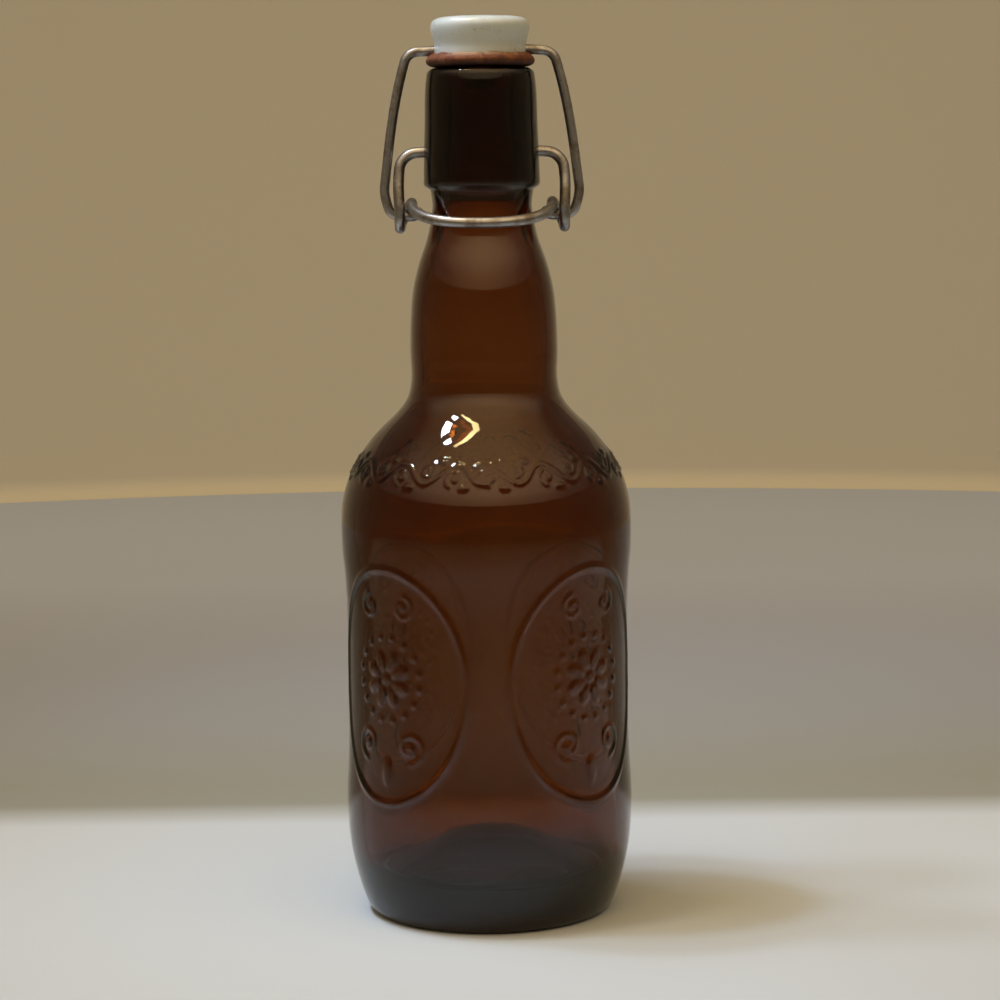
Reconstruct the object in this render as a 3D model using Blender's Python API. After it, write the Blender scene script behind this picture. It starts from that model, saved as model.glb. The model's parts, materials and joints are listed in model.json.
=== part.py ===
"""Swing top bottle of amber glass: a hollow blown bottle, closed by a porcelain stopper with a rubber gasket.

The stopper hangs on a wire bail, and the bail's feet turn in the two eyes of a wire lever, which turns in two
sockets in the bottle's finish. Millimetres below are turned into metres when a mesh is made.
+Z is up, the origin is the middle of the base, and the lever's thumb loop faces -Y.
"""

import math

import bmesh
import bpy
from mathutils import Matrix, Vector

MM = 0.001

# Driving dimensions of the glass, in millimetres
GLASS_HEIGHT = 226.0
SHOULDER_RADIUS = 38.9  # the upper of the two rings that protrude and touch the next bottle
PANEL_RADIUS = 37.5  # the shallow recess between those rings
HEEL_RADIUS = 38.4  # the lower ring
BULGE_RADIUS = 19.5  # the widest of the swollen neck
WAIST_RADIUS = 13.0  # the narrowest of the neck, under the finish
BORE_RADIUS = 8.9
WALL = 2.9

# The finish: the thick collar at the mouth
FINISH_FOOT_RADIUS = 15.5
FINISH_TOP_RADIUS = 14.35
FINISH_FOOT_Z = 195.4
RIM_ROUND = 2.0
BORE_ROUND = 1.2
CHAMFER = (2.2, 1.4)  # inward and downward, from the finish's foot to the neck

# The base
BEARING_INNER = 27.4
BEARING_OUTER = 30.0
HEEL_ROUND = (4.2, 5.5)  # outward and upward
HEEL_LEAN = 20.0  # degrees short of upright at which the heel's round runs on into the wall
PUNT_HEIGHT = 16.0
PUNT_TAPER = 1.1
FLOOR_THICKNESS = 5.0

# The wires
LEVER_WIRE = 2.9
BAIL_WIRE = 2.6
PIVOT_Z = 204.0
SOCKET_RADIUS = 2.1
SOCKET_FLOOR_X = 12.0
LEVER_END_X = 12.5
LEG_X = 21.85
LEG_BEND = 5.0
EYE = (0.9, 187.4)  # y and z of the bail's lower hinge, a little behind the pivot, so that the lever locks
EYE_COIL_RADIUS = 3.3
EYE_DRIFT_FROM = 0.38  # the share of the coil's turn after which the wire moves inward, clear of the leg
ARM_X = 18.6
ARM_SLOPE = math.radians(15.5)
LOOP_DEPTH = 18.6
LOOP_SQUARENESS = 2.35
BAIL_TOP_Z = 230.5
BAIL_TOP_X = 19.6
BAIL_TOP_BEND = 4.0
BAIL_KNEE = (26.1, 193.6)  # where the bail's legs, which spread downward, turn back in
BAIL_KNEE_BEND = 10.0
BAIL_FOOT_X = 24.3
BAIL_FOOT_BEND = 3.0
BAIL_HOOK_X = 17.6  # the wire is straight through the eye as far as here, and its tip turns up
BAIL_TIP = (15.7, 1.4)  # x of the tip, and its rise

# The stopper and its gasket
STOPPER_TOP_Z = 239.5
STOPPER_TOP_RADIUS = 13.1
STOPPER_FOOT_RADIUS = 11.8
STOPPER_FOOT_Z = 227.9
STEM_RADIUS = 6.3
NUB_RADIUS = 7.2
NUB_Z = (225.6, 219.6)
NUB_TIP_RADIUS = 4.2
HOLE_RADIUS = 1.65
GASKET_Z = (226.3, 230.0)
GASKET_SEAT_Z = 227.6
GASKET_RADIUS = 14.5
GASKET_INNER = 6.65
GASKET_CROWN = (12.1, 12.9)  # inner and outer edge of the rubber squeezed up round the stopper

STOPPER_CROWN = 2.4  # radius of the round from its side to its top

# How finely round shapes are cut
OUTER_SPACING = 5.5
INNER_SPACING = 12.0
TURNED_STEPS = 48
STOPPER_STEPS = 36
WIRE_SIDES = 12
DRILL_SIDES = 16
COIL_PIECES = 20
LOOP_PIECES = 14
SAME_POINT = 0.005
DRILL_OVERRUN = 2.0  # how far a drilled hole's cutter starts outside the piece


def material(name, colour, roughness, metallic=0.0, transmission=0.0):
    """A Principled material."""
    made = bpy.data.materials.new(name)
    made.use_nodes = True
    shader = made.node_tree.nodes["Principled BSDF"]
    shader.inputs["Base Color"].default_value = (*colour, 1.0)
    shader.inputs["Roughness"].default_value = roughness
    shader.inputs["Metallic"].default_value = metallic
    shader.inputs["Transmission Weight"].default_value = transmission
    return made


def smooth_through(stations, spacing):
    """Points about spacing apart on the smooth curve (Catmull-Rom) through the stations."""
    points = [Vector(s) for s in stations]
    before = points[0] * 2 - points[1]
    after = points[-1] * 2 - points[-2]
    path = [before, *points, after]
    made = []
    for i in range(1, len(path) - 2):
        a, b, c, d = path[i - 1 : i + 3]
        pieces = max(1, round((c - b).length / spacing))
        for step in range(pieces):
            t = step / pieces
            square = (2 * a - 5 * b + 4 * c - d) * t**2
            cube = (3 * b - a - 3 * c + d) * t**3
            made.append(0.5 * (2 * b + (c - a) * t + square + cube))
    return made + [points[-1]]


def quarter(centre, size, start, end, pieces=5):
    """Points of an elliptical arc in radius and height, from start to end degrees."""
    angles = [math.radians(start + (end - start) * i / pieces) for i in range(pieces + 1)]
    return [Vector((centre[0] + size[0] * math.cos(a), centre[1] + size[1] * math.sin(a))) for a in angles]


def heel_round():
    """The corner from the bearing ring up to the wall."""
    return quarter((BEARING_OUTER, HEEL_ROUND[1]), HEEL_ROUND, -90, -HEEL_LEAN, 4)


def outer_wall():
    """The outside of the glass as radius and height, from the heel's round to the waist under the finish."""
    stations = [
        tuple(heel_round()[-1]),
        (36.4, 11.4),
        (37.8, 18.5),
        (HEEL_RADIUS - 0.05, 25.0),
        (HEEL_RADIUS, 33.0),
        (37.95, 41.0),
        (PANEL_RADIUS + 0.1, 52.0),
        (PANEL_RADIUS, 69.0),
        (PANEL_RADIUS + 0.15, 84.0),
        (38.1, 92.0),
        (38.7, 98.5),
        (SHOULDER_RADIUS, 105.0),
        (38.45, 110.5),
        (36.95, 116.6),
        (33.7, 123.1),
        (28.9, 129.5),
        (23.0, 135.3),
        (20.3, 139.1),
        (BULGE_RADIUS - 0.15, 143.5),
        (BULGE_RADIUS, 151.0),
        (19.25, 160.0),
        (18.45, 168.0),
        (16.8, 174.8),
        (14.75, 180.6),
        (13.6, 185.5),
        (WAIST_RADIUS, 190.2),
    ]
    return smooth_through(stations, OUTER_SPACING)


def inner_wall():
    """The inside of the glass, from the bore's foot down to the floor at the axis."""
    floor_z = PUNT_HEIGHT + FLOOR_THICKNESS
    stations = [
        (BORE_RADIUS, 197.0),
        (9.3, 191.0),
        (10.6, 184.0),
        (12.6, 177.0),
        (14.7, 170.0),
        (15.9, 162.0),
        (BULGE_RADIUS - WALL - 0.1, 152.0),
        (16.3, 143.5),
        (17.1, 138.5),
        (19.8, 134.0),
        (25.2, 128.6),
        (29.9, 122.7),
        (33.4, 116.5),
        (35.2, 109.5),
        (SHOULDER_RADIUS - WALL - 0.2, 103.0),
        (34.9, 90.0),
        (PANEL_RADIUS - WALL, 69.0),
        (34.8, 45.0),
        (HEEL_RADIUS - WALL - 0.5, 30.0),
        (34.6, 20.5),
        (33.5, 14.6),
        (31.4, 12.4),
        (28.6, 12.6),
        (25.0, 14.4),
        (19.0, 17.3),
        (10.0, floor_z - 0.8),
        (0.0, floor_z),
    ]
    return smooth_through(stations, INNER_SPACING)


def glass_profile():
    """The glass's whole outline, from the punt's top out, up, over the rim and down inside to the axis."""
    punt = [
        Vector((BEARING_INNER * math.sin(a), PUNT_HEIGHT * math.cos(a) ** PUNT_TAPER))
        for a in (math.radians(90 * i / 6) for i in range(7))
    ]
    foot = FINISH_FOOT_RADIUS
    chamfer_in, chamfer_drop = CHAMFER
    collar = [
        Vector((foot - chamfer_in, FINISH_FOOT_Z - chamfer_drop - 1.2)),
        Vector((foot - chamfer_in + 0.2, FINISH_FOOT_Z - chamfer_drop)),
        Vector((foot - 0.3, FINISH_FOOT_Z - 0.3)),
        Vector((foot, FINISH_FOOT_Z + 0.3)),
        Vector((foot - 0.05, FINISH_FOOT_Z + 2.0)),
        Vector(((foot + FINISH_TOP_RADIUS) / 2 + 0.1, (FINISH_FOOT_Z + GLASS_HEIGHT) / 2)),
    ]
    rim_centre = (FINISH_TOP_RADIUS - RIM_ROUND, GLASS_HEIGHT - RIM_ROUND)
    rim = quarter(rim_centre, (RIM_ROUND, RIM_ROUND), 0, 90)
    lip_centre = (BORE_RADIUS + BORE_ROUND, GLASS_HEIGHT - BORE_ROUND)
    lip = quarter(lip_centre, (BORE_ROUND, BORE_ROUND), 90, 180, 3)
    outside = punt + heel_round()[:-1] + outer_wall() + collar + rim + lip
    return outside + inner_wall()


def turned(name, profile, steps, finish, hinge=(0.0, 0.0)):
    """A closed solid turned about Z from radius and height points. Points on the axis become poles."""
    mesh = bmesh.new()
    corners = [mesh.verts.new((p.x * MM, 0.0, p.y * MM)) for p in profile]
    edges = [mesh.edges.new(pair) for pair in zip(corners, corners[1:])]
    if profile[0].x > 0.0:
        edges.append(mesh.edges.new((corners[-1], corners[0])))
    bmesh.ops.spin(
        mesh,
        geom=corners + edges,
        cent=(0, 0, 0),
        axis=(0, 0, 1),
        angle=math.tau,
        steps=steps,
        use_merge=True,
    )
    bmesh.ops.remove_doubles(mesh, verts=mesh.verts, dist=SAME_POINT * MM)
    bmesh.ops.recalc_face_normals(mesh, faces=mesh.faces)
    return solid(name, mesh, finish, hinge)


def solid(name, mesh, finish, hinge):
    """Puts a bmesh into the scene, shaded smooth up to a sharp edge, its origin at its hinge's y and z."""
    origin = Vector((0.0, *hinge)) * MM
    bmesh.ops.translate(mesh, verts=mesh.verts, vec=-origin)
    data = bpy.data.meshes.new(name)
    mesh.to_mesh(data)
    mesh.free()
    data.materials.append(finish)
    data.shade_smooth()
    data.set_sharp_from_angle(angle=math.radians(40))
    made = bpy.data.objects.new(name, data)
    made.location = origin
    bpy.context.scene.collection.objects.link(made)
    return made


def cross_cylinder(name, radius, x_from, x_to, y, z):
    """A cutter: a cylinder along X. It isn't part of the object."""
    mesh = bmesh.new()
    middle = Vector(((x_from + x_to) / 2, y, z)) * MM
    place = Matrix.Translation(middle) @ Matrix.Rotation(math.pi / 2, 4, "Y")
    bmesh.ops.create_cone(
        mesh,
        cap_ends=True,
        segments=DRILL_SIDES,
        radius1=radius * MM,
        radius2=radius * MM,
        depth=(x_to - x_from) * MM,
        matrix=place,
    )
    data = bpy.data.meshes.new(name)
    mesh.to_mesh(data)
    mesh.free()
    made = bpy.data.objects.new(name, data)
    bpy.context.scene.collection.objects.link(made)
    made.hide_render = True
    made.display_type = "WIRE"
    return made


def cut(target, cutter):
    """Takes the cutter's shape out of the target."""
    modifier = target.modifiers.new("cut_" + cutter.name, "BOOLEAN")
    modifier.operation = "DIFFERENCE"
    modifier.solver = "EXACT"
    modifier.object = cutter


def fillet(corner, before, after, radius, pieces):
    """Points of the round that a wire of that bend radius makes at a corner."""
    to_before = (before - corner).normalized()
    to_after = (after - corner).normalized()
    half = to_before.angle(to_after) / 2
    centre = corner + (to_before + to_after).normalized() * (radius / math.sin(half))
    start = corner + to_before * (radius / math.tan(half)) - centre
    end = corner + to_after * (radius / math.tan(half)) - centre
    turn = start.rotation_difference(end)
    axis, angle = turn.to_axis_angle()
    return [centre + Matrix.Rotation(angle * i / pieces, 3, axis) @ start for i in range(pieces + 1)]


def lever_half():
    """The lever's wire on the +X side, from its end in the socket to the middle of the thumb loop."""
    eye_y, eye_z = EYE
    leg_top = Vector((LEG_X, 0.0, PIVOT_Z))
    leg_foot = Vector((LEG_X, eye_y - EYE_COIL_RADIUS, eye_z))
    socket_end = Vector((LEVER_END_X, 0.0, PIVOT_Z))
    path = [socket_end]
    path += fillet(leg_top, socket_end, leg_foot, LEG_BEND, 6)
    turn = math.radians(270) + ARM_SLOPE
    for i in range(COIL_PIECES + 1):
        share = i / COIL_PIECES
        drift = max(0.0, (share - EYE_DRIFT_FROM) / (1 - EYE_DRIFT_FROM))
        x = LEG_X + (ARM_X - LEG_X) * drift * drift * (3 - 2 * drift)
        angle = math.pi + turn * share
        path.append(
            Vector((x, eye_y + EYE_COIL_RADIUS * math.cos(angle), eye_z + EYE_COIL_RADIUS * math.sin(angle)))
        )
    arm_start = path[-1]
    forward = Vector((0.0, -math.cos(ARM_SLOPE), -math.sin(ARM_SLOPE)))
    for i in range(1, LOOP_PIECES + 1):
        angle = math.pi / 2 * i / LOOP_PIECES
        across = ARM_X * math.cos(angle) ** (2 / LOOP_SQUARENESS)
        ahead = LOOP_DEPTH * math.sin(angle) ** (2 / LOOP_SQUARENESS)
        path.append(Vector((across, arm_start.y, arm_start.z)) + forward * ahead)
    path[-1].x = 0.0
    return path


def bail_half():
    """The bail's wire on the +X side, from the middle of the stopper down and through the lever's eye."""
    eye_y, eye_z = EYE
    knee_x, knee_z = BAIL_KNEE
    tip_x, tip_rise = BAIL_TIP
    middle = Vector((0.0, 0.0, BAIL_TOP_Z))
    shoulder = Vector((BAIL_TOP_X, 0.0, BAIL_TOP_Z))
    knee = Vector((knee_x, eye_y * (BAIL_TOP_Z - knee_z) / (BAIL_TOP_Z - eye_z), knee_z))
    foot = Vector((BAIL_FOOT_X, eye_y, eye_z))
    hook = Vector((BAIL_HOOK_X, eye_y, eye_z))
    path = [middle, Vector((BAIL_TOP_X / 2, 0.0, BAIL_TOP_Z))]
    path += fillet(shoulder, middle, knee, BAIL_TOP_BEND, 6)
    path += fillet(knee, shoulder, foot, BAIL_KNEE_BEND, 4)
    path += fillet(foot, knee, hook, BAIL_FOOT_BEND, 5)
    halfway = Vector(((BAIL_HOOK_X + tip_x) / 2, eye_y, eye_z + tip_rise * 0.4))
    path += [hook, halfway, Vector((tip_x, eye_y, eye_z + tip_rise))]
    return path


def mirrored(half):
    """The whole path of a wire from its half on the +X side, whose point at x = 0 is not repeated."""
    other = [Vector((-p.x, p.y, p.z)) for p in half]
    if abs(half[0].x) < 1e-6:
        return list(reversed(half)) + other[1:]
    return half + list(reversed(other))[1:]


def wire(name, path, diameter, finish, hinge):
    """A round wire swept along a path with flat ends, its rings kept from twisting."""
    mesh = bmesh.new()
    points = [p * MM for p in path]
    rings = []
    side = None
    for i, point in enumerate(points):
        ahead = (points[min(i + 1, len(points) - 1)] - point).normalized()
        behind = (point - points[max(i - 1, 0)]).normalized()
        along = (ahead + behind).normalized()
        if side is None:
            side = along.orthogonal().normalized()
        side = (side - along * side.dot(along)).normalized()
        other = along.cross(side)
        radius = diameter / 2 * MM
        ring = []
        for k in range(WIRE_SIDES):
            angle = math.tau * k / WIRE_SIDES
            ring.append(mesh.verts.new(point + (side * math.cos(angle) + other * math.sin(angle)) * radius))
        rings.append(ring)
    for near, far in zip(rings, rings[1:]):
        for k in range(WIRE_SIDES):
            after = (k + 1) % WIRE_SIDES
            mesh.faces.new((near[k], near[after], far[after], far[k]))
    mesh.faces.new(list(reversed(rings[0])))
    mesh.faces.new(rings[-1])
    bmesh.ops.recalc_face_normals(mesh, faces=mesh.faces)
    return solid(name, mesh, finish, hinge)


def stopper_profile():
    """The stopper from the tip of its nub up: nub, groove for the gasket, tapered head, domed top."""
    nub_top, nub_tip = NUB_Z
    crown_centre = (STOPPER_TOP_RADIUS - STOPPER_CROWN, STOPPER_TOP_Z - STOPPER_CROWN - 0.4)
    return [
        Vector((0.0, nub_tip)),
        Vector((NUB_TIP_RADIUS - 1.0, nub_tip)),
        *quarter((NUB_TIP_RADIUS - 1.0, nub_tip + 1.0), (1.0, 1.0), -90, -15, 3),
        Vector((NUB_RADIUS, nub_top - 0.9)),
        Vector((NUB_RADIUS, nub_top)),
        Vector((STEM_RADIUS, nub_top + 0.5)),
        Vector((STEM_RADIUS, STOPPER_FOOT_Z)),
        Vector((STOPPER_FOOT_RADIUS - 0.3, STOPPER_FOOT_Z)),
        Vector((STOPPER_FOOT_RADIUS, STOPPER_FOOT_Z + 0.4)),
        Vector((STOPPER_FOOT_RADIUS + 0.35, STOPPER_FOOT_Z + 4.0)),
        *quarter(crown_centre, (STOPPER_CROWN, STOPPER_CROWN), -12, 80, 6),
        Vector((STOPPER_TOP_RADIUS * 0.5, STOPPER_TOP_Z - 0.1)),
        Vector((0.0, STOPPER_TOP_Z)),
    ]


def gasket_profile():
    """The rubber ring: flat below, bulging at its side, with a crown squeezed up round the stopper's foot."""
    bottom, top = GASKET_Z
    crown_in, crown_out = GASKET_CROWN
    return [
        Vector((GASKET_INNER, bottom)),
        Vector((12.6, bottom)),
        Vector((13.6, bottom + 0.35)),
        Vector((14.25, bottom + 0.9)),
        Vector((GASKET_RADIUS, bottom + 1.6)),
        Vector((14.2, bottom + 2.3)),
        Vector((13.55, bottom + 3.05)),
        Vector((crown_out, top - 0.1)),
        Vector((crown_in + 0.35, top)),
        Vector((crown_in, top - 0.3)),
        Vector((crown_in, GASKET_SEAT_Z)),
        Vector((GASKET_INNER, GASKET_SEAT_Z)),
    ]


def clear_scene():
    for old in list(bpy.data.objects):
        bpy.data.objects.remove(old)


def build():
    clear_scene()
    amber = material("amber_glass", (0.30, 0.11, 0.02), 0.03, transmission=0.9)
    steel = material("steel_wire", (0.46, 0.43, 0.40), 0.32, metallic=1.0)
    porcelain = material("porcelain", (0.78, 0.78, 0.74), 0.12)
    rubber = material("red_rubber", (0.36, 0.10, 0.05), 0.6)

    bottle = turned("bottle", glass_profile(), TURNED_STEPS, amber)
    for side, name in ((1, "socket_cutter_right"), (-1, "socket_cutter_left")):
        inner, outer = side * SOCKET_FLOOR_X, side * (FINISH_FOOT_RADIUS + DRILL_OVERRUN)
        socket = cross_cylinder(name, SOCKET_RADIUS, min(inner, outer), max(inner, outer), 0.0, PIVOT_Z)
        cut(bottle, socket)

    wire("lever", mirrored(lever_half()), LEVER_WIRE, steel, (0.0, PIVOT_Z))
    wire("bail", mirrored(bail_half()), BAIL_WIRE, steel, EYE)

    reach = GASKET_RADIUS + DRILL_OVERRUN
    swivel = (0.0, BAIL_TOP_Z)
    stopper = turned("stopper", stopper_profile(), STOPPER_STEPS, porcelain, swivel)
    cut(stopper, cross_cylinder("hole_cutter", HOLE_RADIUS, -reach, reach, *swivel))
    gasket = turned("gasket", gasket_profile(), STOPPER_STEPS, rubber, swivel)
    cut(gasket, cross_cylinder("notch_cutter", HOLE_RADIUS, -reach, reach, *swivel))


build()
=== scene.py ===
"""Looks of the swing top bottle: amber glass with relief, steel wires, glazed stopper, worn rubber gasket.

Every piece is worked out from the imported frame: turned pieces from the outlines of their solids, and wires
from the middle lines of theirs. Lengths are in metres; MM turns a size in millimetres into them.
"""

import json
import math
from collections import defaultdict
from itertools import combinations, pairwise

import bpy
import numpy as np
from mathutils import Matrix, Vector, noise


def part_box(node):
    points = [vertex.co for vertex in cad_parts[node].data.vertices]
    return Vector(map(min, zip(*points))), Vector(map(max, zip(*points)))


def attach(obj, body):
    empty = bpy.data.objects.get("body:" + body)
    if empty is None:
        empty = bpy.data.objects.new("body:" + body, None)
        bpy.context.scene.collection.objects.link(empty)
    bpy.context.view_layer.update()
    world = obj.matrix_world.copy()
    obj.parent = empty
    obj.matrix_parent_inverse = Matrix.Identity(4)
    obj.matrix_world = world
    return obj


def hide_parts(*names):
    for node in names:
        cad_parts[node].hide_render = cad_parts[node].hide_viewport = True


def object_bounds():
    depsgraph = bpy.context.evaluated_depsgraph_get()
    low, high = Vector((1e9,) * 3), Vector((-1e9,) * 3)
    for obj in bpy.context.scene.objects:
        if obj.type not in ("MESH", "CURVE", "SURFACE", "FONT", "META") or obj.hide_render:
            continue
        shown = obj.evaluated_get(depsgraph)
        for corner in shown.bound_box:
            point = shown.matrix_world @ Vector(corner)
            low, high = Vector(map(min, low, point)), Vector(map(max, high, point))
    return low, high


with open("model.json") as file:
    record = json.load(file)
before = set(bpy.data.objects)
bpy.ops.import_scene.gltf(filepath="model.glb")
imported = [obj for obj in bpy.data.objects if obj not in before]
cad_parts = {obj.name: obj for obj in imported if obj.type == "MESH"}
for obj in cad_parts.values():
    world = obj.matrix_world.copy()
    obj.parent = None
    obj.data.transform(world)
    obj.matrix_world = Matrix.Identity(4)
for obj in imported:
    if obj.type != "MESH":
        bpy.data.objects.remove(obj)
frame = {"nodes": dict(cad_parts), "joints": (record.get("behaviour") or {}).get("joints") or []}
cad_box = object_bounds()

MM = 0.001

# The camera at the photo's viewing angle
CAMERA_PLACE = Vector((0.0, -0.766, 0.1997))
CAMERA_PITCH = math.radians(6.6)  # downward
CAMERA_YAW = math.radians(0.283)
CAMERA_ROLL = math.radians(0.707)
CAMERA_LENS = 103.3
CAMERA_SENSOR = 36.0

# The stage: a round floor inside a round wall, wide enough for a camera at any side
FLOOR_RADIUS = 1.02
COVE = 0.012
WALL_HEIGHT = 0.5

# How finely the pieces are cut
GLASS_COLUMNS = 440
NECK_COLUMNS = GLASS_COLUMNS // 2
INNER_COLUMNS = GLASS_COLUMNS // 4
WIRE_SIDES = 32
STOPPER_COLUMNS = 144
GASKET_COLUMNS = 240
STAGE_COLUMNS = 192
DRILL_SIDES = 48
RELIEF_ROW = 0.61 * MM
PLAIN_ROW = 2.05 * MM
INNER_ROW = 3.3 * MM
STOPPER_ROW = 0.5 * MM
GASKET_ROW = 0.25 * MM
WIRE_STEP = 0.5 * MM
ON_AXIS = 0.001 * MM  # a radius below this is a pole
CORNER = math.radians(35)  # a turn in an outline that isn't smoothed away
SOFT_CORNER = 0.3 * MM

# Where the rows and columns of the glass change: heights, and radii under the base
MEDALLION_ROWS = (33.0 * MM, 98.0 * MM)
BAND_ROWS = (112.0 * MM, 131.0 * MM)
FULL_COLUMNS = (31.0 * MM, 132.0 * MM)
HEEL_TOP = 12.0 * MM
FINISH_FOOT = 190.0 * MM
RELIEF_TOP = 194.0 * MM
FLOOR_CLEAR = 30.0 * MM
BASE_RING = 20.0 * MM
BASE_MIDDLE = 9.0 * MM

# Relief on the glass
RELIEF_HEIGHT = 0.5 * MM
MEDALLION_SIDES = [math.radians(a) for a in (45, 135, 225, 315)]
MEDALLION_HEIGHT = 65.4 * MM
MEDALLION_HALF = (23.8 * MM, 31.0 * MM)
FRAME_WIDTH = 1.3 * MM
ROSETTE_RISE = 2.0 * MM  # the rosette's middle, above the medallion's
ROSETTE_RADIUS = 7.5 * MM
PETALS = 8
BEADS = 16
BEAD_RADIUS = 0.7 * MM
BEAD_RING = 11.0 * MM  # radius of the beads' circle
LOW_CURL = (7.6 * MM, -15.5 * MM, 4.6 * MM)  # its middle, across and above the medallion's, and its radius
HIGH_CURL = (7.6 * MM * 0.8, 21.0 * MM, 3.4 * MM)
DROP_RISE = -22.5 * MM
DROP_HALF = (1.4 * MM, 3.6 * MM)
STROKE = 0.62 * MM
BAND_HEIGHT = 121.4 * MM
BAND_REACH = 31.0 * MM  # half the length of each run of the shoulder's scroll
BAND_HALF = 6.5 * MM  # half its width
RELIEF_MARGIN = 3 * MM  # how far past a medallion's oval its relief is looked for
SEAM_HEIGHT = 0.14 * MM
SEAM_WIDTH = 0.5 * MM
INNER_WAVE = 0.34 * MM
BORE_FOOT = 196.0 * MM  # the waves of the inside end here
WAVE_FADE = 12.0 * MM  # and fade out over this length there and towards the axis
INNER_DRIFT = 0.3 * MM  # how much thinner the neck's wall is than drawn, and the body's thicker
DRIFT_MIDDLE = 128.0 * MM  # the height where that changes over
DRIFT_SPAN = 14.0 * MM
WAVE_START = 0.6  # the first wave's shift, in radians
WAVE_SHIFT = 1.7  # and how much further each next one is shifted
WAVE_LEAN = 1.6  # how much faster a wave swells and fades upward than it turns
WAVES = (  # times round the glass, radians per metre upward, and share
    (1, 9.0, 0.67),
    (2, 21.0, 0.40),
    (3, 33.0, 0.29),
    (5, 52.0, 0.14),
    (7, 80.0, 0.08),
    (9, 6.0, 0.22),
    (13, 9.0, 0.14),
)

# Where the wires end, on their +X side, and the least distance out at which a socket's rim is looked for
LEVER_END = Vector((12.5, 0.0, 204.0)) * MM
BAIL_END = Vector((15.7, 0.9, 188.8)) * MM
SOCKET_SEEN = 11.0 * MM

# Wear of the gasket: noise waves to a metre, round and up, and how deep it goes
WORN_FROM = 0.45  # the share of its height above which it crumbles
SLOW_WAVES = (260.0, 300.0)
FINE_WAVES = (1500.0, 900.0)
RIM_SHRINK = 0.10 * MM
RIM_CRUMBLE = 0.22 * MM
RIM_SAG = 0.45 * MM
RIM_CHIP = 0.25 * MM

# The sockets of a Mix node that mixes colours, by number, since others in it have the same names
MIX_FACTOR, MIX_FIRST, MIX_SECOND, MIX_RESULT = 0, 6, 7, 2

# Finishes, as linear colours
GLASS_IOR = 1.52
GLASS_DENSITY = 950.0
GLASS_COLOUR = (0.69, 0.46, 0.12)
WIRE_TONE = (0.44, 0.44, 0.475)
WIRE_BRIGHT = (0.44, 0.47, 0.54)
WIRE_STAINED = (0.235, 0.205, 0.185)
WIRE_SPECK = (0.05, 0.04, 0.03)
GLAZE_WHITE = (0.60, 0.67, 0.72)
GLAZE_GREY = (0.535, 0.59, 0.61)
GLAZE_SPECK = (0.16, 0.13, 0.10)
RUBBER_RED = (0.16, 0.042, 0.012)
RUBBER_DARK = (0.09, 0.022, 0.012)
RUBBER_PALE = (0.29, 0.11, 0.045)
# the pale of dust and wear on the gasket's crown, partly a painted highlight
RUBBER_DUST_AND_SHEEN = (0.37, 0.25, 0.165)
RUBBER_CRACK = (0.03, 0.012, 0.008)
# Floor colours that paint light: a bright pool round the bottle, painted shade in front of it and behind it,
# and a dimmer far floor
FLOOR_COLOUR = (0.535, 0.585, 0.655)
FLOOR_PAINTED_SHADE = (0.275, 0.28, 0.255)
FLOOR_FAR = (0.42, 0.505, 0.75)
FLOOR_FRONT_SHADE = (0.42, 0.47, 0.50)
FLOOR_PAINTED_LIGHT = [  # from the camera's side to behind the bottle
    (-0.150, FLOOR_FRONT_SHADE),
    (-0.100, FLOOR_COLOUR),
    (0.101, FLOOR_COLOUR),
    (0.129, FLOOR_PAINTED_SHADE),
    (0.160, FLOOR_PAINTED_SHADE),
    (0.620, FLOOR_FAR),
]
# The backdrop's colour behind the bottle, and a painted shade for its sides and front
WALL_COLOUR = (0.585, 0.59, 0.575)
WALL_PAINTED_SHADE = (0.45, 0.44, 0.41)

# Lights: place, size, power in watts, colour and how wide the beam spreads
DAYLIGHT_COLOUR = (0.66, 0.79, 0.94)
DAYLIGHT = ((-0.30, 0.0, 0.78), (0.62, 0.08), 0.46, DAYLIGHT_COLOUR, 60.0)
PANE_NEAR = ((-0.29, -0.06, 0.80), (0.06, 0.06), 0.13, DAYLIGHT_COLOUR, 60.0)
PANE_FAR = ((-0.29, 0.06, 0.80), (0.06, 0.06), 0.13, DAYLIGHT_COLOUR, 60.0)
STRIP = ((-0.20, -0.12, 1.12), (0.05, 0.36), 0.06, (1.0, 0.80, 0.35), 37.0)
SKY = [  # the soft light from all round, by the sine of its height
    (0.40, (0.27, 0.225, 0.160)),
    (0.56, (0.56, 0.465, 0.325)),
    (0.70, (0.52, 0.425, 0.290)),
    (0.86, (0.15, 0.122, 0.082)),
    (1.0, (0.08, 0.065, 0.044)),
]
SKY_BEHIND = (0.16, 0.125, 0.08)  # the same, on the side away from the camera
GLOW_FROM = Vector((0.02, -0.45, 0.89)).normalized()
GLOW = [  # a wide soft light above the camera, by the cosine of the angle from its middle
    (0.48, (0.0, 0.0, 0.0)),
    (0.76, (0.55, 0.37, 0.16)),
    (0.97, (1.26, 0.84, 0.36)),
]


# ---------------------------------------------------------------- outlines of the frame's solids


def welded(node):
    """Positions and triangles of a node's mesh, with its doubled corners made one."""
    mesh = frame["nodes"][node].data
    index = {}
    places = []
    of_corner = []
    for vertex in mesh.vertices:
        key = tuple(round(c, 6) for c in vertex.co)
        if key not in index:
            index[key] = len(places)
            places.append(vertex.co.copy())
        of_corner.append(index[key])
    faces = [tuple(of_corner[i] for i in polygon.vertices) for polygon in mesh.polygons]
    return places, faces


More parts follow.
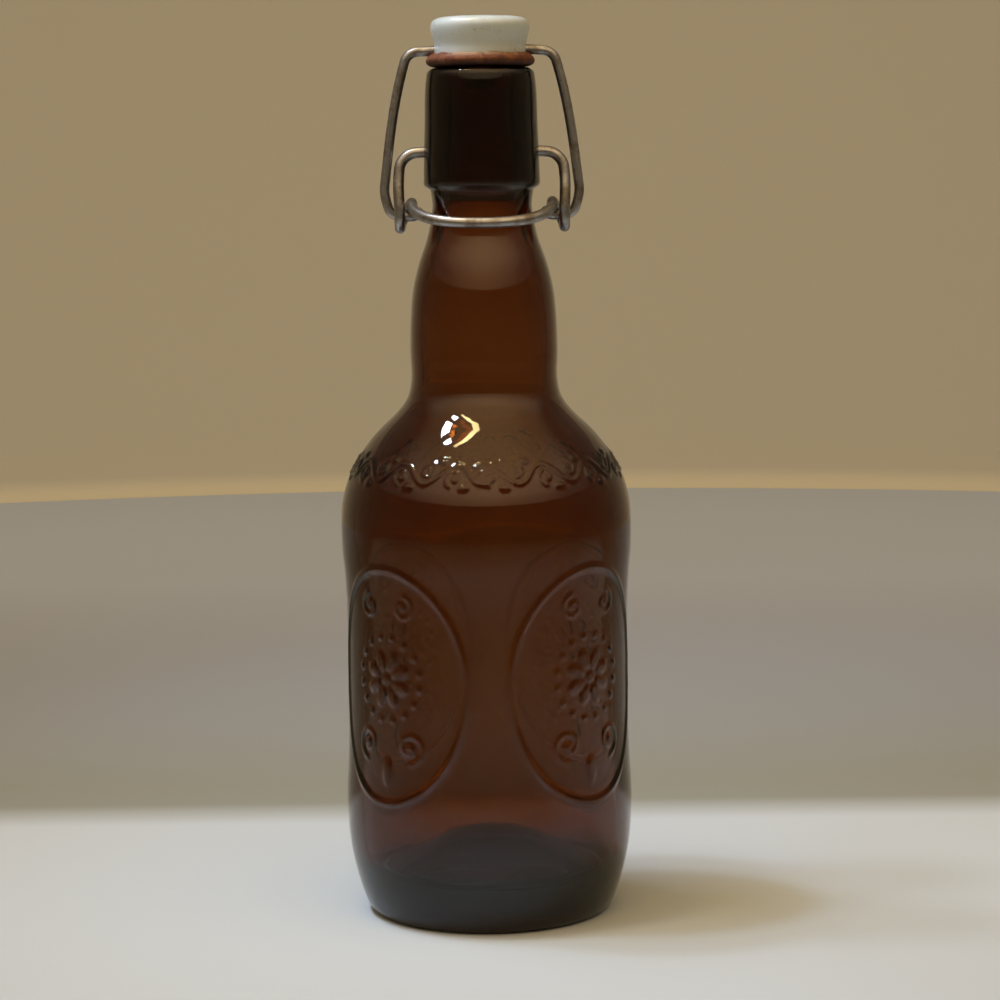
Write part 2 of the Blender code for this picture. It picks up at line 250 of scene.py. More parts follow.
def meridian(node):
    """The outline of a turned node on its -Y side: points of radius and height, in order from its lowest."""
    places, faces = welded(node)
    near = 2e-6
    on_side = {i for i, p in enumerate(places) if abs(p.x) < near and p.y < near}
    links = defaultdict(set)
    for face in faces:
        for a, b in combinations([i for i in set(face) if i in on_side], 2):
            links[a].add(b)
            links[b].add(a)
    ends = [i for i in on_side if len(links[i]) == 1]
    start = min(ends or on_side, key=lambda i: places[i].z)
    chain = [start]
    while True:
        onward = [i for i in links[chain[-1]] if i not in chain]
        if not onward:
            break
        chain.append(min(onward, key=lambda i: (places[i] - places[chain[-1]]).length))
    outline = [Vector((-places[i].y, places[i].z)) for i in chain]
    if ends and outline[0].x > near:
        outline.insert(0, Vector((0.0, outline[0].y)))
    if ends and outline[-1].x > near:
        outline.append(Vector((0.0, outline[-1].y)))
    return outline


def middle_line(node, end):
    """The middle line of a wire's node, from the end nearest to a point: the mean of each ring of corners."""
    places, faces = welded(node)
    links = defaultdict(set)
    for face in faces:
        for a, b in combinations(set(face), 2):
            links[a].add(b)
            links[b].add(a)
    sides = 12
    ring = set(sorted(range(len(places)), key=lambda i: (places[i] - end).length)[:sides])
    seen = set()
    line = []
    radii = []
    while ring:
        seen |= ring
        middle = sum((places[i] for i in ring), Vector()) / len(ring)
        line.append(middle)
        radii.append(sum((places[i] - middle).length for i in ring) / len(ring))
        ring = {j for i in ring for j in links[i]} - seen
    return line, sorted(radii)[len(radii) // 2]


def turn_at(before, here, after):
    return (here - before).angle(after - here, 0.0)


def softened(points, size):
    """The outline with each sharp corner cut by a small round."""
    most = 0.4  # of the way to the next point
    made = [points[0]]
    for before, here, after in zip(points, points[1:], points[2:]):
        if turn_at(before, here, after) < CORNER:
            made.append(here)
            continue
        step = min(size, (before - here).length * most, (after - here).length * most)
        near = here + (before - here).normalized() * step
        far = here + (after - here).normalized() * step
        made += [near, (near + 2 * here + far) / 4, far]
    return made + [points[-1]]


def smooth_through(points, spacing):
    """Points on the smooth curve through the given ones, as far apart as spacing says for a place."""
    count = len(points)
    gaps = [max((b - a).length, 1e-9) for a, b in pairwise(points)]
    slopes = []
    for i in range(count):
        if i == 0 or i == count - 1:
            j = min(i, count - 2)
            slopes.append((points[j + 1] - points[j]) / gaps[j])
            continue
        into = (points[i] - points[i - 1]) / gaps[i - 1]
        out = (points[i + 1] - points[i]) / gaps[i]
        slopes.append((into * gaps[i] + out * gaps[i - 1]) / (gaps[i - 1] + gaps[i]))
    made = []
    for i, gap in enumerate(gaps):
        a, b = points[i], points[i + 1]
        pieces = max(1, round(gap / spacing((a + b) / 2)))
        for step in range(pieces):
            t = step / pieces
            weight_a = 2 * t**3 - 3 * t**2 + 1
            weight_b = 3 * t**2 - 2 * t**3
            bend_a = (t**3 - 2 * t**2 + t) * gap
            bend_b = (t**3 - t**2) * gap
            made.append(a * weight_a + b * weight_b + slopes[i] * bend_a + slopes[i + 1] * bend_b)
    return made + [points[-1]]


# ---------------------------------------------------------------- making meshes


def new_object(name, vertices, faces, finish, sharp=60.0):
    data = bpy.data.meshes.new(name)
    data.from_pydata(vertices, [], faces)
    data.validate()
    data.materials.append(finish)
    data.shade_smooth()
    data.set_sharp_from_angle(angle=math.radians(sharp))
    made = bpy.data.objects.new(name, data)
    bpy.context.scene.collection.objects.link(made)
    return made


def stitch(faces, near_start, near_count, far_start, far_count):
    """Adds the faces between two rings, whose counts are the same, or one twice the other, or one a pole."""
    if near_count == far_count:
        for k in range(near_count):
            after = (k + 1) % near_count
            faces.append((near_start + k, near_start + after, far_start + after, far_start + k))
    elif far_count == 1:
        for k in range(near_count):
            faces.append((near_start + k, near_start + (k + 1) % near_count, far_start))
    elif near_count == 1:
        for k in range(far_count):
            faces.append((far_start + (k + 1) % far_count, far_start + k, near_start))
    elif near_count == 2 * far_count:
        for k in range(far_count):
            after = far_start + (k + 1) % far_count
            first = near_start + 2 * k
            middle = first + 1
            last = near_start + (2 * k + 2) % near_count
            faces += [(first, middle, far_start + k), (middle, after, far_start + k), (middle, last, after)]
    else:
        for k in range(near_count):
            after = near_start + (k + 1) % near_count
            first = far_start + 2 * k
            middle = first + 1
            last = far_start + (2 * k + 2) % far_count
            faces += [(near_start + k, middle, first), (near_start + k, after, middle), (after, last, middle)]


def lathe(name, rows, finish, closed=False):
    """A turned mesh. Each row is an array of points round the axis; one of a single point is a pole."""
    starts = np.cumsum([0] + [len(row) for row in rows])
    faces = []
    for i in range(len(rows) - 1):
        stitch(faces, starts[i], len(rows[i]), starts[i + 1], len(rows[i + 1]))
    if closed:
        stitch(faces, starts[-2], len(rows[-1]), 0, len(rows[0]))
    return new_object(name, np.concatenate(rows).tolist(), faces, finish)


def around(count):
    """Azimuths of a ring's points, from +X and counted towards +Y."""
    return np.arange(count) * (math.tau / count)


def pole(height):
    """A row of one point, on the axis."""
    return np.array([[0.0, 0.0, height]])


def ring_points(azimuth, radius, height):
    """An array of points from arrays or numbers of radius and height."""
    radius = np.broadcast_to(radius, azimuth.shape)
    height = np.broadcast_to(height, azimuth.shape)
    return np.stack([radius * np.cos(azimuth), radius * np.sin(azimuth), height], axis=1)


def outline_normals(points):
    """The outward normal at each point of an outline that runs up its outer side."""
    normals = []
    for i in range(len(points)):
        along = points[min(i + 1, len(points) - 1)] - points[max(i - 1, 0)]
        normals.append(Vector((along.y, -along.x)).normalized())
    return normals


# ---------------------------------------------------------------- relief on the glass


def bump(distance, half_width):
    """A smooth ridge: 1 on its middle line, 0 from its half width on."""
    share = np.clip(1.0 - np.abs(distance) / half_width, 0.0, 1.0)
    return share * share * (3.0 - 2.0 * share)


def pad(distance, soft):
    """1 inside a shape, whose distance is negative there, falling to 0 over the soft edge."""
    share = np.clip(0.5 - distance / soft, 0.0, 1.0)
    return share * share * (3.0 - 2.0 * share)


def ellipse_distance(u, v, half_u, half_v):
    """Near enough the distance to an ellipse's edge, negative inside."""
    scaled = np.hypot(u / half_u, v / half_v)
    steep = np.maximum(np.hypot(u / half_u**2, v / half_v**2), 1e-9)
    return scaled * (scaled - 1.0) / steep


def turned_by(u, v, angle):
    return u * math.cos(angle) + v * math.sin(angle), v * math.cos(angle) - u * math.sin(angle)


def rosette(u, v, radius):
    """A flower of petals round a button."""
    height = pad(np.hypot(u, v) - radius * 0.2, STROKE)
    for k in range(PETALS):
        along, across = turned_by(u, v, math.tau * (k + 0.5) / PETALS)
        petal = ellipse_distance(along - radius * 0.66, across, radius * 0.36, radius * 0.2)
        height = np.maximum(height, pad(petal, STROKE))
    return height


def spiral(u, v, radius, hand):
    """A curl that opens from the button in its middle to the radius, where it ends at the foot."""
    turns = 1.3
    button = radius * 0.2
    overlap = 0.05  # radians past each end
    distance = np.hypot(u, v)
    angle = np.arctan2(hand * u, -v)
    total = turns * math.tau
    nearest = np.full(np.shape(u), 1.0)
    for lap in range(int(turns) + 2):
        swept = total - (angle % math.tau) - lap * math.tau
        curl = radius * (0.18 + 0.82 * swept / total)
        on_curl = (swept > -overlap) & (swept < total + overlap)
        nearest = np.minimum(nearest, np.where(on_curl, np.abs(distance - curl), 1.0))
    return np.maximum(bump(nearest, STROKE * 1.15), pad(distance - button, STROKE))


def medallion(u, v):
    """Relief of an oval frame and, in it, a rosette, beads, four curls and a drop. u is across, v is up."""
    half_u, half_v = MEDALLION_HALF
    edge = ellipse_distance(u, v, half_u, half_v)
    height = bump(edge, FRAME_WIDTH)
    height = np.maximum(height, 0.8 * rosette(u, v - ROSETTE_RISE, ROSETTE_RADIUS))
    for k in range(BEADS):
        angle = math.tau * (k + 0.5) / BEADS
        bead_u = BEAD_RING * math.sin(angle)
        bead_v = ROSETTE_RISE + BEAD_RING * math.cos(angle)
        bead = np.hypot(u - bead_u, v - bead_v) - BEAD_RADIUS
        height = np.maximum(height, 0.75 * pad(bead, STROKE))
    for hand in (-1, 1):
        for across, middle, radius in (LOW_CURL, HIGH_CURL):
            rise = v - middle if middle < 0 else middle - v  # the high curls are upside down
            curl = spiral(u - hand * across, rise, radius, hand)
            height = np.maximum(height, 0.85 * curl)
    drop = ellipse_distance(u, v - DROP_RISE, *DROP_HALF)
    return np.maximum(height, 0.8 * pad(drop, STROKE))


def running_scroll(s, t):
    """A vine that waves along the shoulder, with a curl and a bud in each hollow. s is along it, t is up."""
    wave = 15.5 * MM
    swing = 2.7 * MM
    curl_radius = 2.3 * MM
    curl_rise = 1.0 * MM
    bud_half = (1.5 * MM, 0.9 * MM)
    bud_ahead, bud_rise = 3.4 * MM, 3.6 * MM
    fade_length = 1.5 * MM
    phase = math.tau * s / wave
    middle = swing * np.sin(phase)
    steepness = swing * math.tau / wave * np.cos(phase)
    height = bump((t - middle) / np.hypot(1.0, steepness), STROKE * 1.2)
    halves = int(BAND_REACH / (wave / 2)) + 1
    for k in range(-halves, halves + 1):
        hollow = (k + 0.5) * wave / 2
        side = -1 if k % 2 == 0 else 1
        curl = spiral(s - hollow, (t - side * curl_rise) * -side, curl_radius, side)
        height = np.maximum(height, 0.9 * curl)
        bud = ellipse_distance(s - hollow - bud_ahead, t - side * bud_rise, *bud_half)
        height = np.maximum(height, 0.8 * pad(bud, STROKE))
    fade = np.clip((BAND_REACH - np.abs(s)) / fade_length, 0.0, 1.0)
    return height * fade


def relief(azimuth, radius, height, along):
    """How far the glass stands proud on one row. along is the row's distance up the outline from the band."""
    proud = np.zeros_like(azimuth)
    half_u, half_v = MEDALLION_HALF
    for side in MEDALLION_SIDES:
        off = (azimuth - side + math.pi) % math.tau - math.pi
        if abs(height - MEDALLION_HEIGHT) < half_v + RELIEF_MARGIN:
            inside = np.abs(off * radius) < half_u + RELIEF_MARGIN
            u = off[inside] * radius
            v = np.full_like(u, height - MEDALLION_HEIGHT)
            proud[inside] = np.maximum(proud[inside], medallion(u, v))
        if abs(along) < BAND_HALF:
            inside = np.abs(off * radius) < BAND_REACH
            s = off[inside] * radius
            t = np.full_like(s, along)
            proud[inside] = np.maximum(proud[inside], running_scroll(s, t))
    return proud * RELIEF_HEIGHT


def seam(azimuth, radius):
    """The fine ridge where the two halves of the mould met, on the +X and -X sides."""
    off = np.abs((azimuth + math.pi / 2) % math.pi - math.pi / 2) * radius
    return SEAM_HEIGHT * bump(off, SEAM_WIDTH)


def unevenness(azimuth, height):
    """Slow waves of the glass, as a share of their greatest height."""
    made = np.zeros_like(azimuth)
    for k, (times, upward, share) in enumerate(WAVES):
        shift = WAVE_SHIFT * k + WAVE_START
        wave = share * np.sin(times * azimuth + height * upward + shift)
        made = made + wave * np.cos(height * upward * WAVE_LEAN - shift)
    return made


# ---------------------------------------------------------------- materials


def shader_of(name):
    made = bpy.data.materials.new(name)
    made.use_nodes = True
    return made, made.node_tree, made.node_tree.nodes["Principled BSDF"]


def add_node(tree, kind, **values):
    """A shader node. A value named after a socket, with _ for a space, is set on it, others on the node."""
    made = tree.nodes.new(kind)
    for key, value in values.items():
        socket = made.inputs.get(key.replace("_", " "))
        if socket is not None:
            socket.default_value = value
        else:
            setattr(made, key, value)
    return made


def object_place(tree):
    return add_node(tree, "ShaderNodeTexCoord").outputs["Object"]


def part_of(tree, vector, axis):
    """One of the three numbers of a vector's socket."""
    apart = add_node(tree, "ShaderNodeSeparateXYZ")
    tree.links.new(vector, apart.inputs["Vector"])
    return apart.outputs[axis]


def share_of(tree, value, low, high):
    """Where a value lies between two others, from 0 to 1."""
    made = add_node(tree, "ShaderNodeMapRange")
    made.inputs["From Min"].default_value = low
    made.inputs["From Max"].default_value = high
    tree.links.new(value, made.inputs["Value"])
    return made.outputs["Result"]


def noise_of(tree, scale, detail=3.0, roughness=0.5, stretch=(1.0, 1.0, 1.0), place=None):
    """A noise pattern's factor. Its scale is in waves to a metre."""
    mapping = add_node(tree, "ShaderNodeMapping", Scale=stretch)
    tree.links.new(place or object_place(tree), mapping.inputs["Vector"])
    made = add_node(tree, "ShaderNodeTexNoise", Scale=scale, Detail=detail, Roughness=roughness)
    tree.links.new(mapping.outputs["Vector"], made.inputs["Vector"])
    return made.outputs["Fac"]


def ramp_of(tree, factor, stops):
    """A colour ramp through stops of (position, colour), where a colour may be one number for a grey."""
    made = tree.nodes.new("ShaderNodeValToRGB")
    elements = made.color_ramp.elements
    for i, (position, colour) in enumerate(stops):
        element = elements[i] if i < 2 else elements.new(position)
        element.position = position
        element.color = (*colour, 1.0) if isinstance(colour, tuple) else (colour, colour, colour, 1.0)
    tree.links.new(factor, made.inputs["Fac"])
    return made.outputs["Color"]


def mixed(tree, factor, first, second, blend="MIX"):
    """Two colours mixed. Each is a socket or a colour, and the factor is a socket or a number."""
    made = add_node(tree, "ShaderNodeMix", data_type="RGBA", blend_type=blend)
    for index, value in ((MIX_FACTOR, factor), (MIX_FIRST, first), (MIX_SECOND, second)):
        if isinstance(value, bpy.types.NodeSocket):
            tree.links.new(value, made.inputs[index])
        else:
            made.inputs[index].default_value = value if index == MIX_FACTOR else (*value, 1.0)
    return made.outputs[MIX_RESULT]


def bumped(tree, shader, height, distance, strength=1.0, under=None):
    """Adds a bump from a height pattern to the shader's normal, on top of an earlier one."""
    made = add_node(tree, "ShaderNodeBump", Distance=distance, Strength=strength)
    tree.links.new(height, made.inputs["Height"])
    if under is not None:
        tree.links.new(under, made.inputs["Normal"])
    tree.links.new(made.outputs["Normal"], shader.inputs["Normal"])
    return made.outputs["Normal"]


def amber_glass():
    """Clear brown glass, faintly smeared and rippled, and darker the more of it the light goes through."""
    made, tree, shader = shader_of("amber_glass")
    shader.inputs["Base Color"].default_value = (1.0, 1.0, 1.0, 1.0)
    shader.inputs["Transmission Weight"].default_value = 1.0
    shader.inputs["IOR"].default_value = GLASS_IOR
    smears = noise_of(tree, 45.0, detail=4.0)
    rough = ramp_of(tree, smears, [(0.35, 0.02), (0.62, 0.035), (0.85, 0.09)])
    tree.links.new(rough, shader.inputs["Roughness"])
    peel = noise_of(tree, 260.0, detail=1.0)
    bumped(tree, shader, peel, 0.02 * MM, 0.6)
    depth = add_node(tree, "ShaderNodeVolumeAbsorption", Density=GLASS_DENSITY)
    depth.inputs["Color"].default_value = (*GLASS_COLOUR, 1.0)
    tree.links.new(depth.outputs["Volume"], tree.nodes["Material Output"].inputs["Volume"])
    return made


def steel_wire():
    """Drawn steel gone dull: fine lines along the wire, grey-brown stains and dark specks."""
    made, tree, shader = shader_of("steel_wire")
    shader.inputs["Metallic"].default_value = 1.0
    uv = add_node(tree, "ShaderNodeUVMap", uv_map="wire").outputs["UV"]
    lines = noise_of(tree, 1.0, detail=2.0, stretch=(2600.0, 60.0, 1.0), place=uv)
    stains = noise_of(tree, 210.0, detail=4.0, roughness=0.6)
    specks = noise_of(tree, 1500.0, detail=2.0)
    tone = ramp_of(tree, stains, [(0.36, WIRE_STAINED), (0.52, WIRE_TONE), (0.7, WIRE_BRIGHT)])
    tone = mixed(tree, ramp_of(tree, lines, [(0.35, 0.35), (0.6, 0.0)]), tone, WIRE_STAINED)
    tone = mixed(tree, ramp_of(tree, specks, [(0.68, 0.0), (0.74, 0.85)]), tone, WIRE_SPECK)
    tree.links.new(tone, shader.inputs["Base Color"])
    tree.links.new(ramp_of(tree, stains, [(0.35, 0.46), (0.65, 0.3)]), shader.inputs["Roughness"])
    drawn = bumped(tree, shader, lines, 0.02 * MM, 0.5)
    bumped(tree, shader, specks, 0.03 * MM, 0.35, under=drawn)
    return made


def porcelain():
    """White glaze with a faint grey cast, small dark specks and a slight waviness."""
    made, tree, shader = shader_of("porcelain")
    clouds = noise_of(tree, 120.0, detail=3.0)
    specks = noise_of(tree, 900.0, detail=1.0)
    tone = ramp_of(tree, clouds, [(0.3, GLAZE_GREY), (0.7, GLAZE_WHITE)])
    tone = mixed(tree, ramp_of(tree, specks, [(0.76, 0.0), (0.8, 0.7)]), tone, GLAZE_SPECK)
    tree.links.new(tone, shader.inputs["Base Color"])
    tree.links.new(ramp_of(tree, clouds, [(0.3, 0.24), (0.7, 0.34)]), shader.inputs["Roughness"])
    shader.inputs["Coat Weight"].default_value = 0.5
    shader.inputs["Coat Roughness"].default_value = 0.08
    bumped(tree, shader, noise_of(tree, 320.0, detail=1.0), 0.03 * MM, 0.5)
    return made


def red_rubber():
    """Aged red rubber: pale and worn on top, with a painted highlight there too, dark in its cracks, and
    painted shade below.
    """
    made, tree, shader = shader_of("red_rubber")
    worn = noise_of(tree, 330.0, detail=5.0, roughness=0.65)
    grain = noise_of(tree, 1700.0, detail=3.0)
    cracks = noise_of(tree, 1.0, detail=4.0, roughness=0.7, stretch=(900.0, 900.0, 260.0))
    tone = ramp_of(tree, worn, [(0.32, RUBBER_DARK), (0.52, RUBBER_RED), (0.72, RUBBER_PALE)])
    low, high = (corner[2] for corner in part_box("gasket"))
    rise = share_of(tree, part_of(tree, object_place(tree), "Z"), low, high)
    # painted shade: darker towards the gasket's foot
    shade = ramp_of(tree, rise, [(0.05, 0.22), (0.35, 0.6), (0.62, 1.0)])
    tone = mixed(tree, 1.0, tone, shade, blend="MULTIPLY")
    # pale dust and wear on the crown, partly a painted highlight on its top edge
    crown = ramp_of(tree, rise, [(0.66, 0.0), (0.86, 0.85)])
    dust_and_sheen = ramp_of(tree, noise_of(tree, 95.0, detail=3.0), [(0.44, 0.0), (0.58, 1.0)])
    tone = mixed(tree, mixed(tree, 1.0, crown, dust_and_sheen, blend="MULTIPLY"), tone, RUBBER_DUST_AND_SHEEN)
    tone = mixed(tree, ramp_of(tree, cracks, [(0.36, 0.9), (0.42, 0.0)]), tone, RUBBER_CRACK)
    tree.links.new(tone, shader.inputs["Base Color"])
    shader.inputs["Roughness"].default_value = 0.72
    rough = bumped(tree, shader, grain, 0.08 * MM, 0.6)
    bumped(tree, shader, cracks, 0.25 * MM, 0.7, under=rough)
    return made


def matt(name, colour):
    made, _, shader = shader_of(name)
    shader.inputs["Base Color"].default_value = (*colour, 1.0)
    shader.inputs["Roughness"].default_value = 0.9
    shader.inputs["Specular IOR Level"].default_value = 0.2
    return made


def pale_backdrop():
    """Pale behind the bottle, with painted shade at the sides and in front, where only the glass shows it."""
    made = matt("pale_backdrop", WALL_COLOUR)
    tree = made.node_tree
    tone = ramp_of(tree, part_of(tree, object_place(tree), "Y"), [(0.40, WALL_PAINTED_SHADE), (0.85, WALL_COLOUR)])
    tree.links.new(tone, tree.nodes["Principled BSDF"].inputs["Base Color"])
    return made


def pale_floor():
    """A painted pool of light, white round the bottle, and painted shade a little greyer before and behind
    it.
    """
    made = matt("pale_floor", FLOOR_COLOUR)
    tree = made.node_tree
    first, last = FLOOR_PAINTED_LIGHT[0][0], FLOOR_PAINTED_LIGHT[-1][0]
    # the painted pool of light and painted shade, from front to back
    along = share_of(tree, part_of(tree, object_place(tree), "Y"), first, last)
    tone = ramp_of(tree, along, [((place - first) / (last - first), shade) for place, shade in FLOOR_PAINTED_LIGHT])
    tree.links.new(tone, tree.nodes["Principled BSDF"].inputs["Base Color"])
    return made


# ---------------------------------------------------------------- pieces


def glass_row_spacing(place):
    """How far apart the rows of the glass's outer side are: fine where there is relief."""
    height = place.y
    if any(low < height < high for low, high in (MEDALLION_ROWS, BAND_ROWS)):
        return RELIEF_ROW
    if height < HEEL_TOP:
        return PLAIN_ROW * 0.6
    if height > FINISH_FOOT:
        return PLAIN_ROW * 0.8
    return PLAIN_ROW


def smooth_runs(points, spacing):
    """smooth_through for each run between sharp corners, joined up again."""
    corners = [0]
    for i in range(1, len(points) - 1):
        if turn_at(points[i - 1], points[i], points[i + 1]) > CORNER:
            corners.append(i)
    corners.append(len(points) - 1)
    made = []
    for first, last in pairwise(corners):
        made += smooth_through(points[first : last + 1], spacing)[:-1]
    return made + [points[-1]]


def outer_rows(outer):
    """Rows of the glass's outer side, from the middle of the base to the mouth, with relief and seams."""
    lowest, highest = (corner[2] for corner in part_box("bottle"))
    widest = cad_box[1][0]
    normals = outline_normals(outer)
    along = [0.0]
    for a, b in pairwise(outer):
        along.append(along[-1] + (b - a).length)
    on_wall = [i for i, p in enumerate(outer) if p.y > HEEL_TOP]
    wall_foot = on_wall[0]
    band_middle = along[min(on_wall, key=lambda i: abs(outer[i].y - BAND_HEIGHT))]
    rows = []
    for i, (radius, height) in enumerate(outer):
        if radius < ON_AXIS:
            rows.append(pole(height))
            continue
        count = GLASS_COLUMNS if FULL_COLUMNS[0] < height < FULL_COLUMNS[1] else NECK_COLUMNS
        if i < wall_foot and radius < BASE_RING:
            count = INNER_COLUMNS
        if i < wall_foot and radius < BASE_MIDDLE:
            count = INNER_COLUMNS // 2
        azimuth = around(count)
        proud = np.zeros(count)
        if i >= wall_foot and height < RELIEF_TOP:
            proud = relief(azimuth, radius, height, along[i] - band_middle) + seam(azimuth, radius)
        normal = normals[i]
        reach = np.minimum(radius + proud * normal.x, widest)
        rows.append(ring_points(azimuth, reach, np.clip(height + proud * normal.y, lowest, highest)))
    return rows


def inner_rows(inner):
    """Rows of the glass's inside, from the mouth down, which is as uneven as blown glass."""
    rows = []
    for radius, height in inner:
        if radius < ON_AXIS:
            rows.append(pole(height))
            continue
        count = INNER_COLUMNS if radius > BASE_MIDDLE or height > FLOOR_CLEAR else INNER_COLUMNS // 2
        azimuth = around(count)
        drift = INNER_DRIFT * math.tanh((height - DRIFT_MIDDLE) / DRIFT_SPAN)
        wave = INNER_WAVE * unevenness(azimuth, height) + drift
        wave = wave * min(1.0, max(0.0, BORE_FOOT - height) / WAVE_FADE)
        wave = wave * min(1.0, radius / WAVE_FADE)
        rows.append(ring_points(azimuth, radius + wave, height))
    return rows


def bottle_piece():
    """The glass, with the two sockets in which the lever turns."""
    outline = softened(meridian("bottle"), SOFT_CORNER)
    top = max(range(len(outline)), key=lambda i: (round(outline[i].y, 6), -outline[i].x))
    outer = smooth_runs(outline[: top + 1], glass_row_spacing)
    inner = smooth_runs(outline[top:], lambda place: INNER_ROW)
    made = lathe("glass_bottle", outer_rows(outer) + inner_rows(inner[1:]), amber_glass())
    pivot = hinge_place("lever_swing")
    radius, floor = drilled_size("bottle", pivot, beyond=SOCKET_SEEN)
    widest = cad_box[1][0]
    for side in (1, -1):
        drill(made, pivot, radius, *sorted((side * floor, side * widest)))
    return made


def hinge_place(name):
    return Vector(next(j for j in frame["joints"] if j["name"] == name)["pos_m"])


def drilled_size(node, hinge, beyond=0.0):
    """Radius, and least distance from the middle, of the hole along X that a node has round a hinge."""
    places, _ = welded(node)
    around_hinge = [p for p in places if abs(p.x) > beyond]
    radius = min((p - hinge).yz.length for p in around_hinge)
    floor = min(abs(p.x) for p in around_hinge if (p - hinge).yz.length < radius * 1.02)
    return radius, floor


def drill(piece, hinge, radius, x_from, x_to):
    """Takes a cylinder along X out of a piece."""
    sides = DRILL_SIDES
    vertices = []
    for x in (x_from, x_to):
        for k in range(sides):
            angle = math.tau * k / sides
            vertices.append((x, hinge.y + radius * math.cos(angle), hinge.z + radius * math.sin(angle)))
    faces = [(k, (k + 1) % sides, sides + (k + 1) % sides, sides + k) for k in range(sides)]
    faces += [tuple(range(sides))[::-1], tuple(range(sides, 2 * sides))]
    cutter = new_object("drill", vertices, faces, piece.data.materials[0])
    hole = piece.modifiers.new("hole", "BOOLEAN")
    hole.operation = "DIFFERENCE"
    hole.solver = "EXACT"
    hole.object = cutter
    bpy.context.view_layer.update()
    shaped = bpy.data.meshes.new_from_object(piece.evaluated_get(bpy.context.evaluated_depsgraph_get()))
    piece.modifiers.remove(hole)
    piece.data = shaped
    bpy.data.objects.remove(cutter)


def swept(name, line, radius, finish):
    """A round wire along a line, its ends rounded over, with a UV map that runs round and along it."""
    sides = WIRE_SIDES
    points = smooth_through(line, lambda place: WIRE_STEP)
    ahead = [
        (points[min(i + 1, len(points) - 1)] - points[max(i - 1, 0)]).normalized() for i in range(len(points))
    ]
    tip = [(0.0, 0.72), (0.12, 0.9), (0.35, 1.0)]  # from the end, and thickness, both in radii
    under_tip = 2  # points of the line whose place a tip takes
    start, end = points[0], points[-1]
    into, out = ahead[0], ahead[-1]
    stations = [(start + into * radius * inset, radius * size, into) for inset, size in tip]
    stations += [(points[i], radius, ahead[i]) for i in range(under_tip, len(points) - under_tip)]
    stations += [(end - out * radius * inset, radius * size, out) for inset, size in reversed(tip)]
    vertices = []
    side = ahead[0].orthogonal().normalized()
    for point, size, along in stations:
        side = (side - along * side.dot(along)).normalized()
        other = along.cross(side)
        for k in range(sides):
            angle = math.tau * k / sides
            vertices.append(point + (side * math.cos(angle) + other * math.sin(angle)) * size)
    faces = []
    for i in range(len(stations) - 1):
        for k in range(sides):
            after = (k + 1) % sides
            faces.append((i * sides + k, i * sides + after, (i + 1) * sides + after, (i + 1) * sides + k))
    last = (len(stations) - 1) * sides
    faces += [tuple(range(sides))[::-1], tuple(range(last, last + sides))]
    made = new_object(name, vertices, faces, finish, sharp=70.0)
    uv = made.data.uv_layers.new(name="wire")
    for face in made.data.polygons:
        columns = [made.data.loops[loop].vertex_index % sides for loop in face.loop_indices]
        wraps = len(columns) == 4 and max(columns) - min(columns) == sides - 1
        for loop, column in zip(face.loop_indices, columns):
            row = made.data.loops[loop].vertex_index // sides
            round_it = sides if wraps and column == 0 else column
            uv.data[loop].uv = (round_it / sides * math.tau * radius, row * WIRE_STEP)
    return made


def wire_piece(name, node, end, finish):
    line, ring_radius = middle_line(node, end)
    return swept(name, line, ring_radius, finish)


def turned_piece(name, node, columns, spacing, finish, closed=False, change=None):
    """A finer copy of a turned node. change gives each row's points their unevenness."""
    outline = meridian(node)
    if closed:
        outline = outline + [outline[0]]
    outline = smooth_runs(softened(outline, SOFT_CORNER), lambda place: spacing)
    if closed:
        outline = outline[:-1]
    rows = []
    for radius, height in outline:
        if radius < ON_AXIS:
            rows.append(pole(height))
            continue
        azimuth = around(columns)
        if change is not None:
            radius, height = change(azimuth, radius, height)
        rows.append(ring_points(azimuth, radius, height))
    return lathe(name, rows, finish, closed)


def worn_rim(azimuth, radius, height):
    """The gasket's unevenness: slow waves all over, and a cracked, crumbling crown."""
    low, high = (corner[2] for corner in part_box("gasket"))
    rise = (height - low) / (high - low)
    worn = max(0.0, rise - WORN_FROM) / (1.0 - WORN_FROM)
    out = np.empty_like(azimuth)
    up = np.empty_like(azimuth)
    for k, angle in enumerate(azimuth):
        spot = Vector((math.cos(angle), math.sin(angle), 0.0)) * radius
        slow = noise.noise(spot * SLOW_WAVES[0] + Vector((0.0, 0.0, height * SLOW_WAVES[1])))
        fine = noise.fractal(spot * FINE_WAVES[0] + Vector((3.0, 0.0, height * FINE_WAVES[1])), 0.6, 2.0, 3)
        out[k] = -RIM_SHRINK * (slow + 0.5) - RIM_CRUMBLE * worn * max(0.0, fine + 0.15)
        up[k] = -RIM_SAG * worn * max(0.0, slow + 0.25) - RIM_CHIP * worn * max(0.0, fine)
    return radius + out, height + up


def drill_for_bail(piece):
    """The hole through which the bail's bar runs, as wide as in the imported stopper."""
    hinge = hinge_place("stopper_swing")
    radius, _ = drilled_size("stopper", hinge)
    reach = cad_box[1][0]
    drill(piece, hinge, radius, -reach, reach)
    return piece


def stopper_piece():
    head = turned_piece("porcelain_stopper", "stopper", STOPPER_COLUMNS, STOPPER_ROW, porcelain())
    return drill_for_bail(head)


def gasket_piece():
    ring = turned_piece(
        "rubber_gasket", "gasket", GASKET_COLUMNS, GASKET_ROW, red_rubber(), closed=True, change=worn_rim
    )
    return drill_for_bail(ring)


# ---------------------------------------------------------------- the stage, the camera and the lights


